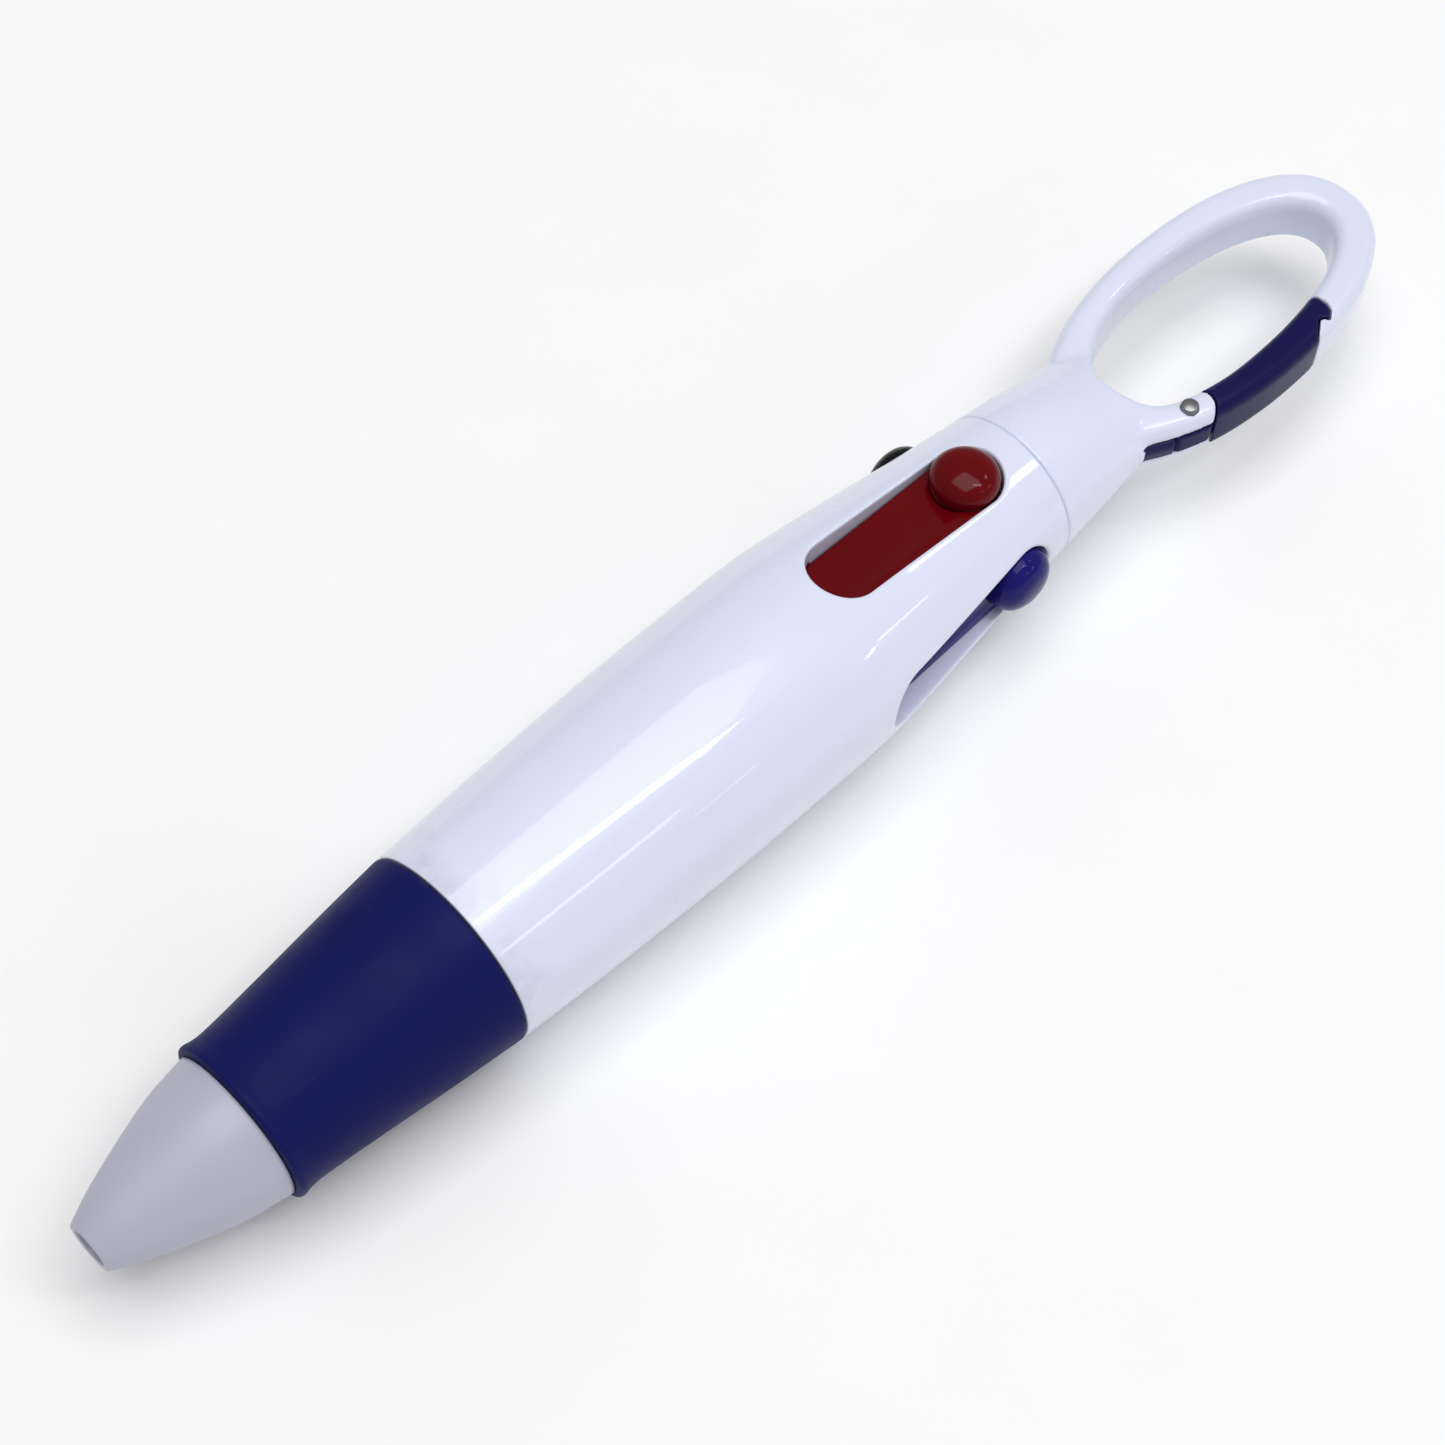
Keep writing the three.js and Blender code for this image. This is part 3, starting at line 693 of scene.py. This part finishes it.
def slider_rail():
    """The rail's section, run back to a round rear end."""
    tops_x, tops_z = np.array(RAIL_TOPS).T
    middle = SLIDER_REAR - SLIDER_RADIUS
    straight = np.linspace(SLIDER_FRONT, middle, 60)[:-1]
    rounded = middle + SLIDER_RADIUS * np.sin(np.radians(np.linspace(0, 88, 20)))
    rings = []
    for x in np.concatenate([straight, rounded]):
        half = math.sqrt(SLIDER_RADIUS**2 - max(0, x - middle) ** 2)
        ring = rail_section(half, float(np.interp(x, tops_x, tops_z)))
        rings.append(np.c_[np.full(len(ring), x), ring])
    return tube("rail", rings)


def slider_knob():
    """The domed thumb piece, from below the rail's top up."""
    dome = catmull(KNOB_DOME[1:], 8)
    line = np.vstack([KNOB_DOME[:1], dome])
    angle = np.linspace(0, 2 * math.pi, KNOB_SIDES, endpoint=False)
    reach = line[:, :1] * SLIDER_RADIUS
    x = KNOB_MIDDLE + reach * np.cos(angle)
    y = reach * np.sin(angle)
    z = np.repeat(line[:, 1:], len(angle), 1)
    faces = grid_faces(len(line), len(angle), close_columns=True).tolist()
    return solid("knob", np.stack([x, y, z], 2).reshape(-1, 3), [*faces, list(range(len(angle)))])


def slider_block():
    """The block that pushes the refill, with its corners eased, and the peg in the refill's tube."""
    front, rear = BLOCK_ENDS
    corners = [(front, -BLOCK_HALF), (rear, -BLOCK_HALF), (rear, BLOCK_HALF), (front, BLOCK_HALF)]
    block = prism("block", corners, *BLOCK_HEIGHTS)
    bevel = block.modifiers.new("bevel", "BEVEL")
    bevel.width = BLOCK_EDGE
    bevel.segments = 3
    applied(block)
    return block, along_refill(lathe("peg", PEG_OUTLINE, 24))


def slider(colour):
    made = joined(slider_rail(), slider_knob(), *slider_block())
    made.name = f"slider_{colour}_skin"
    return made


def along_refill(obj):
    """Moves a piece made along the axis, from the ball's front at 0, to where the refill lies."""
    along, across = REFILL_START
    turn = Matrix.Rotation(-math.radians(REFILL_TILT), 4, "Y")
    obj.data.transform(Matrix.Translation(Vector((along, 0, across))) @ turn)
    return obj


def refill_point(colour):
    return along_refill(lathe(f"refill_point_{colour}_skin", POINT_OUTLINE, POINT_SIDES))


def point_ball(colour):
    around = np.radians(np.linspace(180, 0, 17))
    line = np.stack([BALL_RADIUS * (1 + np.cos(around)), BALL_RADIUS * np.sin(around)], 1)
    return along_refill(lathe(f"point_ball_{colour}_skin", line, 32))


def return_spring(colour):
    """Round wire wound about the refill where it passes the spring, closed at its cut ends."""
    start, end = SPRING_ENDS
    turns = np.linspace(0, 1, WIRE_STEPS * SPRING_TURNS + 1)
    angle = 2 * math.pi * SPRING_TURNS * turns
    x = start + (end - start) * turns
    middle = REFILL_START[1] + (x - REFILL_START[0]) * math.tan(math.radians(REFILL_TILT))
    path = np.stack([x, SPRING_RADIUS * np.sin(angle), middle + SPRING_RADIUS * np.cos(angle)], 1)
    out = np.stack([0 * angle, np.sin(angle), np.cos(angle)], 1)
    forward = np.array([1, 0, 0])
    around = np.linspace(0, 2 * math.pi, WIRE_SIDES, endpoint=False)
    lines = [path + SPRING_WIRE * (math.cos(a) * out + math.sin(a) * forward) for a in around]
    return tube(f"return_spring_{colour}_skin", np.stack(lines, 1))


# ---- top cap and gate ----

def loop_ring(name):
    """The loop: a rounded section swept between its outer outline and its hole."""
    outer, inner = oval(LOOP_OUTER), oval(LOOP_HOLE)
    corner = np.radians(np.linspace(0, 90, 7))
    half = LOOP_DEPTH / 2
    rings = []
    for o, i in zip(outer, inner):
        width = np.linalg.norm(o - i)
        out = (o - i) / width
        ease = min(LOOP_ROUND, width * LOOP_ROUND_SHARE)
        across = np.concatenate([width - ease + ease * np.cos(corner), ease - ease * np.cos(corner[::-1])])
        up = half - ease + ease * np.sin(corner)
        up = np.concatenate([up, up[::-1]])
        across = np.concatenate([across, across[::-1]])
        up = np.concatenate([up, -up[::-1]])
        rings.append(np.c_[i + across[:, None] * out, up])
    return solid(name, np.vstack(rings), grid_faces(len(rings), len(rings[0]), True, True))


def gate_plan():
    """The gate from above: hollow round the arm in front, its latch nose behind."""
    hollow = arc(PIN, ARM_RADIUS + GATE_GAP, *GATE_HOLLOW, 16)
    return np.array([*hollow, (hollow[-1][0], GATE_NOSE[-1][1]), *GATE_NOSE[::-1]])


def neck():
    """The cap from its seam to inside the loop, oval, with an eased edge at the seam."""
    angle = np.linspace(0, 2 * math.pi, NECK_SIDES, endpoint=False)
    across, up = np.cos(angle), np.sin(angle)
    rings = [np.stack([np.full(len(angle), x), w * across, d * up], 1) for x, w, d in catmull(NECK, 10)]
    eased = rings[0] * (1, NECK_EDGE_SHARE, NECK_EDGE_SHARE)
    rings[0] = rings[0] + (NECK_EDGE, 0, 0)
    return tube("neck", [eased, *rings])


def leaf_band(name, clearance):
    """The strip that springs the gate, along the loop's outline in front of the pin."""
    line = oval(LOOP_OUTER, 720)
    keep = (line[:, 0] > LEAF_START - clearance) & (line[:, 0] < LEAF_REAR) & (line[:, 1] < LEAF_SIDE)
    outer = grown(line, LEAF_OUTER + clearance)[keep]
    inner = grown(line, LEAF_INNER - clearance)[keep]
    clear = np.hypot(*(inner - PIN).T) > LUG_RADIUS - LEAF_LAP - clearance
    half = LUG_DEPTH / 2 + clearance
    up = [half, half, half - LEAF_EDGE, LEAF_EDGE - half, -half, -half]
    rings = []
    for o, i in zip(outer[clear], inner[clear]):
        eased = o - LEAF_EDGE * (o - i) / np.linalg.norm(o - i)
        rings.append(np.c_[np.array([i, eased, o, o, eased, i]), up])
    return tube(name, rings)


def junction_share(co):
    """How much each point is softened: most at the middle of the junction of neck and loop."""
    return np.clip(1 - np.abs(co[:, 0] - JUNCTION_MIDDLE) / JUNCTION_REACH, 0, 1) ** 0.5


def gate_room():
    """What is taken from the cap to let the gate, its lug and its leaf in, and the hole for the pin."""
    space = prism("space", grown(gate_plan(), GATE_GAP), -LOOP_DEPTH, LOOP_DEPTH)
    combined(space, "DIFFERENCE", bar("arm", ARM_RADIUS, 2 * LOOP_DEPTH))
    lug_slot = bar("lug", ARM_RADIUS + LAP_GAP, LUG_DEPTH / 2 + LAP_GAP)
    pin_hole = bar("pin_hole", PIN_RADIUS + PIN_HOLE_GAP, 2 * LOOP_DEPTH)
    return space, lug_slot, leaf_band("groove", LAP_GAP), pin_hole


def top_cap():
    """Neck, plug and loop run together into one skin, with room for the gate cut out of it."""
    hole = prism("hole", oval(LOOP_HOLE, 144), -LOOP_DEPTH, LOOP_DEPTH)
    body = combined(neck(), "DIFFERENCE", hole)
    plug_outline = [(PLUG_START, PLUG_BORE), (PLUG_START, PLUG_RADIUS), (PLUG_END, PLUG_RADIUS),
                    (PLUG_END, PLUG_BORE)]
    body = remeshed(joined(body, loop_ring("ring"), lathe("plug", plug_outline, 96)), JOIN_GRID)
    body = softened(body, *JOIN_SOFTENING, junction_share)
    combined(body, "DIFFERENCE", *gate_room())
    body = softened(remeshed(body, CAP_GRID), *CAP_SOFTENING)
    body.name = "top_cap_skin"
    return body


def gate_lug():
    """The part of the gate between the arm's cheeks: round about the pin, and a bridge to the gate."""
    x, y = PIN
    low, high = y + BRIDGE_SIDES[0], y + BRIDGE_SIDES[1]
    corners = [(x, low), (x + BRIDGE_LENGTH, low), (x + BRIDGE_LENGTH, high), (x, high)]
    lug = bar("lug", LUG_RADIUS, LUG_DEPTH / 2)
    combined(lug, "UNION", prism("bridge", corners, -LUG_DEPTH / 2, LUG_DEPTH / 2))
    outside = grown(oval(LOOP_OUTER, 144), LEAF_OUTER)
    combined(lug, "INTERSECT", prism("outside", outside, -LOOP_DEPTH, LOOP_DEPTH))
    return combined(lug, "DIFFERENCE", prism("hole", oval(LOOP_HOLE, 144), -LOOP_DEPTH, LOOP_DEPTH))


def gate():
    """The stretch of the loop that swings, with its lug and the hole for the pin."""
    plan = prism("plan", gate_plan(), -LOOP_DEPTH, LOOP_DEPTH)
    arm = combined(loop_ring("carabiner_gate_skin"), "INTERSECT", plan)
    combined(arm, "UNION", gate_lug())
    combined(arm, "DIFFERENCE", bar("pin_hole", PIN_RADIUS + PIN_HOLE_GAP, 2 * LOOP_DEPTH))
    return softened(remeshed(arm, GATE_GRID), *GATE_SOFTENING)


def gate_pin():
    """A round pin with a slight dome at each end."""
    head = arc((0, PIN_HALF - PIN_DOME_RADIUS), PIN_DOME_RADIUS, PIN_DOME_START, 90, 6)
    line = [*(head[::-1] * (1, -1)), *head]
    angle = np.linspace(0, 2 * math.pi, PIN_SIDES, endpoint=False)
    x, y = PIN
    rings = [np.stack([x + r * np.cos(angle), y + r * np.sin(angle), np.full(PIN_SIDES, z)], 1)
             for r, z in line]
    return solid("gate_pin_skin", np.vstack(rings), grid_faces(len(rings), PIN_SIDES, close_columns=True))


# ---- the whole pen ----

done(nose_cone(), off_white, "pen_body", stands_for=["nose_cone"])
done(grip_sleeve(), grip_blue, "pen_body", stands_for=["grip_sleeve"])
done(barrel(), white_gloss, "pen_body", stands_for=["barrel"])
done(top_cap(), cap_gloss, "pen_body", stands_for=["top_cap"])
done(gate(), gate_blue, "gate", stands_for=["carabiner_gate"])
done(gate_pin(), steel, "pen_body", stands_for=["gate_pin"])
leaf = leaf_band("gate_leaf_spring_skin", 0)
done(leaf, gate_blue, stands_for=["gate_leaf_spring"])
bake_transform(leaf)

for colour, degrees in PLACES.items():
    done(slider(colour), slider_plastic[colour], f"slider_{colour}_body", degrees,
         [f"slider_{colour}"])
    done(refill_point(colour), brass, f"refill_{colour}_body", degrees, [f"refill_point_{colour}"])
    done(point_ball(colour), steel, f"refill_{colour}_body", degrees, [f"point_ball_{colour}"])
    spring = done(return_spring(colour), steel, "pen_body", degrees, [f"return_spring_{colour}"])
    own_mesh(spring)

carried_over = {"spring_guide": inner_white, "inner_core": inner_white}
carried_over.update({f"refill_tube_{colour}": refill_plastic for colour in PLACES})
for name, material in carried_over.items():
    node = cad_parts[name]
    node.data.materials.clear()
    node.data.materials.append(material)

# ---- floor, lights and camera ----

FLOOR_HEIGHT = -8.2 * MM
FLOOR_CORNERS = [(-1, -1, 0), (1, -1, 0), (1, 1, 0), (-1, 1, 0)]
WORLD_STRENGTH = 0.37
KEY_PLACE = (0, -0.1, 1.2)
KEY_SIZE = (1, 1)
KEY_POWER = 9.5
# lamps one metre off: from and to as directions, width in metres, radiance
LAMPS = {
    "long_lamp": ((0.1, -0.3, 0.95), (0.34, -0.51, 0.79), 0.07, 12),
    "low_lamp": ((0.12, -0.84, 0.53), (0.27, -0.835, 0.48), 0.05, 6),
    "lowest_lamp": ((0.28, -0.92, 0.275), (0.35, -0.9, 0.26), 0.03, 3),
    "side_lamp": ((0.54, -0.72, 0.43), (0.63, -0.675, 0.385), 0.03, 9),
    "side_spot": ((0.49, -0.785, 0.375), (0.53, -0.745, 0.41), 0.035, 12),
    "rear_spot": ((0.66, -0.2, 0.72), (0.66, -0.35, 0.67), 0.05, 12),
}
CAMERA_PLACE = Vector((-0.079895, -0.071588, 0.172838))
CAMERA_AZIMUTH = math.radians(-45.931)
CAMERA_ELEVATION = math.radians(59.219)
CAMERA_ROLL = math.radians(1.897)
CAMERA_LENS = 74.42  # millimetres, on a sensor 36 wide
CAMERA_CLIP = (0.01, 10)


def laid_floor():
    floor = solid("floor", FLOOR_CORNERS, [(0, 1, 2, 3)])
    floor.location.z = FLOOR_HEIGHT
    pale = (0.97, 0.97, 0.97)
    paint = moulded("floor", pale, 0.9, mottle=0.005, grain=400, scuffs=0, specular=0.1)
    floor.data.materials.append(paint)


def area_light(name, place, size, power):
    """A rectangular light that faces the pen."""
    data = bpy.data.lights.new(name, "AREA")
    data.shape = "RECTANGLE"
    data.size, data.size_y = size
    data.energy = power
    light = bpy.data.objects.new(name, data)
    light.location = place
    light.rotation_euler = (-Vector(place)).to_track_quat("-Z", "Y").to_euler()
    bpy.context.scene.collection.objects.link(light)
    return light


def lamp(name, start, end, width, radiance):
    """A narrow bright lamp between two directions, turned so that its length runs between them."""
    start, end = Vector(start).normalized(), Vector(end).normalized()
    middle = (start + end) / 2
    along = end - start
    power = radiance * math.pi * along.length * width
    light = area_light(name, middle, (along.length, width), power)
    facing = middle.normalized()
    across = facing.cross(along).normalized()
    light.rotation_euler = Matrix((across.cross(facing), across, facing)).transposed().to_euler()


def lit_world():
    world = bpy.data.worlds.new("studio")
    world.use_nodes = True
    background = world.node_tree.nodes["Background"]
    background.inputs["Color"].default_value = (1, 1, 1, 1)
    background.inputs["Strength"].default_value = WORLD_STRENGTH
    bpy.context.scene.world = world
    bpy.context.scene.view_settings.view_transform = "Standard"


def placed_camera():
    """A camera turned by its azimuth, elevation and roll."""
    back = Vector((
        math.sin(CAMERA_AZIMUTH) * math.cos(CAMERA_ELEVATION),
        -math.cos(CAMERA_AZIMUTH) * math.cos(CAMERA_ELEVATION),
        math.sin(CAMERA_ELEVATION),
    ))
    right = Vector((0, 0, 1)).cross(back).normalized()
    right.rotate(Matrix.Rotation(CAMERA_ROLL, 3, back))
    turn = Matrix((right, back.cross(right), back)).transposed().to_4x4()
    data = bpy.data.cameras.new("camera")
    data.sensor_width = 36
    data.lens = CAMERA_LENS
    data.clip_start, data.clip_end = CAMERA_CLIP
    camera = bpy.data.objects.new("camera", data)
    camera.matrix_world = Matrix.Translation(CAMERA_PLACE) @ turn
    bpy.context.scene.collection.objects.link(camera)
    bpy.context.scene.camera = camera


laid_floor()
area_light("key", KEY_PLACE, KEY_SIZE, KEY_POWER)
for name, lit in LAMPS.items():
    lamp(name, *lit)
lit_world()
placed_camera()
